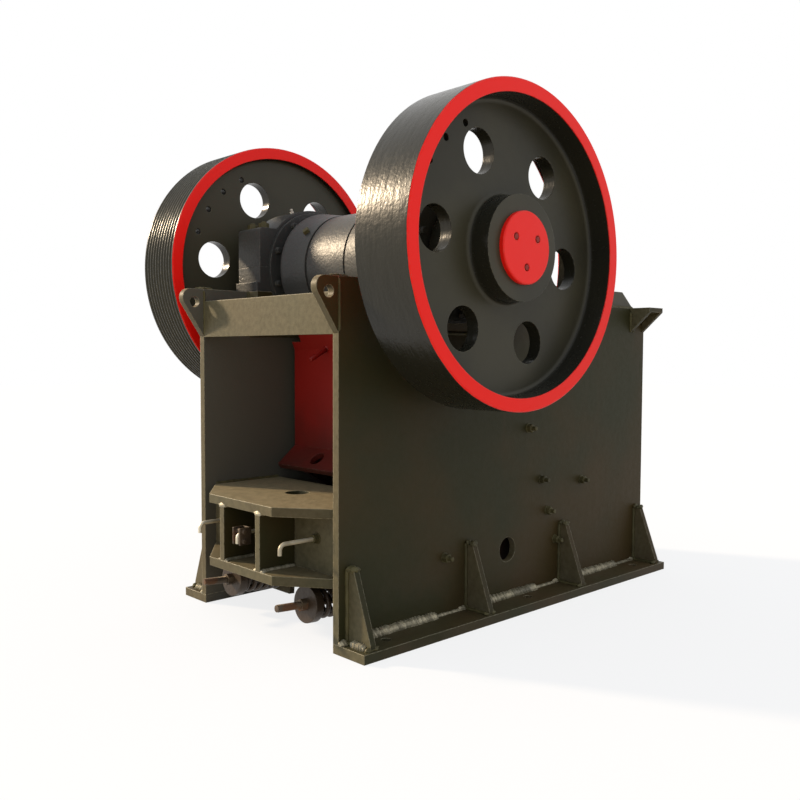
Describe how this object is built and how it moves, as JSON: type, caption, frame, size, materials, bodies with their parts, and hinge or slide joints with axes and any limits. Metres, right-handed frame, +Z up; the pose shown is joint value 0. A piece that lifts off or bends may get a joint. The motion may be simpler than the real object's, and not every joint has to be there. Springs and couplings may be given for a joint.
{
  "type": "single-toggle jaw crusher",
  "caption": "Welded-frame jaw crusher with flywheel, grooved belt pulley, eccentric shaft, swing jaw, toggle and sprung tension rods, on bolted feet",
  "frame": {"origin": "centre of the foundation holes, on the underside of the feet", "axes": "+X to the feed end, -Y to the flywheel, +Z up"},
  "size_m": [2.434, 1.978, 2.339],
  "materials": {
    "frame_paint": "semi-gloss",
    "wheel_paint": "gloss",
    "red_paint": "gloss",
    "casting_paint": "semi-gloss",
    "jaw_steel": "rough",
    "bright_steel": "machined"
  },
  "bodies": {
    "frame": {"rear_cross_plate": "frame_paint", "shelf": "frame_paint", "box_floor": "frame_paint", "box_ribs": "frame_paint", "thrust_wall": "frame_paint", "shim_pack": "jaw_steel", "toggle_seat": "jaw_steel", "toggle_plate": "jaw_steel", "shim_handles": "bright_steel", "front_wall": "frame_paint", "front_shelves": "frame_paint", "front_posts": "frame_paint", "fixed_jaw_plate": "jaw_steel", "tension_rods": "bright_steel", "spring_brackets": "frame_paint", "tension_springs": "casting_paint", "spring_washers": "casting_paint", "rod_nuts": "bright_steel", "side_plate_right": "frame_paint", "side_plate_left": "frame_paint", "lifting_ear_right": "frame_paint", "lifting_ear_left": "frame_paint", "foot_right": "frame_paint", "foot_left": "frame_paint", "foot_gussets_right": "frame_paint", "foot_gussets_left": "frame_paint", "cheek_plates_right": "jaw_steel", "cheek_plates_left": "jaw_steel", "feed_ledge_right": "frame_paint", "feed_ledge_left": "frame_paint", "feed_guard_right": "frame_paint", "feed_guard_left": "frame_paint", "bearing_brackets_right": "frame_paint", "bearing_brackets_left": "frame_paint", "bearing_base_right": "casting_paint", "bearing_base_left": "casting_paint", "bearing_cap_right": "casting_paint", "bearing_cap_left": "casting_paint", "bearing_covers_right": "casting_paint", "bearing_covers_left": "casting_paint"},
    "rotor": {"eccentric_shaft": "bright_steel", "flywheel": "wheel_paint", "flywheel_cap": "red_paint", "pulley": "wheel_paint", "pulley_cap": "red_paint"},
    "jaw": {"swing_jaw": "red_paint", "swing_jaw_plate": "jaw_steel", "swing_jaw_wedge": "jaw_steel", "barrel_covers": "casting_paint", "rod_lugs": "casting_paint"}
  },
  "joints": [
    {"name": "rotor_spin", "type": "hinge", "parent": "frame", "child": "rotor", "pos_m": [-0.527, 0, 1.664], "axis": [0, 1, 0], "continuous": true},
    {"name": "jaw_orbit", "type": "hinge", "parent": "rotor", "child": "jaw", "pos_m": [-0.527, 0, 1.649], "axis": [0, 1, 0], "continuous": true}
  ],
  "couplings": [
    {"joint": "jaw_orbit", "follows": "rotor_spin", "ratio": -1}
  ]
}
